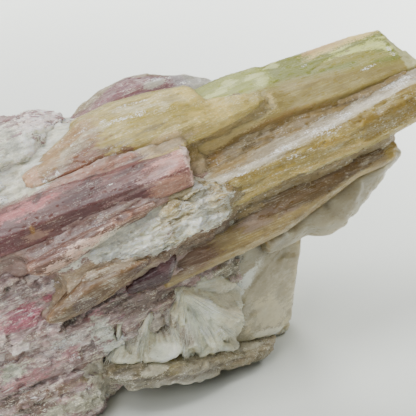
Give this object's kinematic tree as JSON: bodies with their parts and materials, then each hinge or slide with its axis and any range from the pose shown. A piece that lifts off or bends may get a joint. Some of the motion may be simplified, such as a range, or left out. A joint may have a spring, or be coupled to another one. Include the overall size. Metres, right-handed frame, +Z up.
{
  "type": "tourmaline in matrix specimen",
  "caption": "Mineral specimen: striated green, pink and amber tourmaline prisms lying side by side in a rock of white albite, lilac mica and cloudy quartz.",
  "frame": {"origin": "under the middle of the specimen's box, on the plane it rests on", "axes": "+X to the right along the length, the way the prisms climb; +Y to the back; +Z up"},
  "size_m": [0.1052, 0.0558, 0.0583],
  "materials": {
    "matrix": "lilac mica and chalky albite rock, glittering, dull between the flakes",
    "green_crystal": "pale green to tan tourmaline, striated, waxy, slightly translucent",
    "outer_crystal": "cream to salmon tourmaline rind, sugary and glittering",
    "pink_crystal": "mauve pink tourmaline, striated and glossy, pale where it is broken",
    "rose_splinter": "pinkish tan splinter, smooth",
    "amber_crystal": "olive amber tourmaline with a glittering lilac grey upper face",
    "brown_crystal": "brown tourmaline, striated, satin",
    "back_crystal": "mauve tourmaline with an olive cream edge",
    "purple_crystal": "dark purple crystal, glassy",
    "tan_blade": "tan translucent blade, waxy",
    "albite_crust": "chalky white albite, ragged",
    "albite_fan": "white bladed albite, silky with bright cleavages",
    "layered_plate": "olive and grey layered rock with a thin yellow edge",
    "quartz": "cloudy beige grey quartz, broken faces, translucent"
  },
  "bodies": {
    "root": {"matrix": "matrix", "green_crystal": "green_crystal", "outer_crystal": "outer_crystal", "pink_crystal": "pink_crystal", "rose_splinter": "rose_splinter", "amber_crystal": "amber_crystal", "brown_crystal": "brown_crystal", "back_crystal": "back_crystal", "purple_crystal": "purple_crystal", "tan_blade": "tan_blade", "albite_crust": "albite_crust", "albite_fan": "albite_fan", "layered_plate": "layered_plate", "quartz": "quartz"}
  },
  "joints": []
}
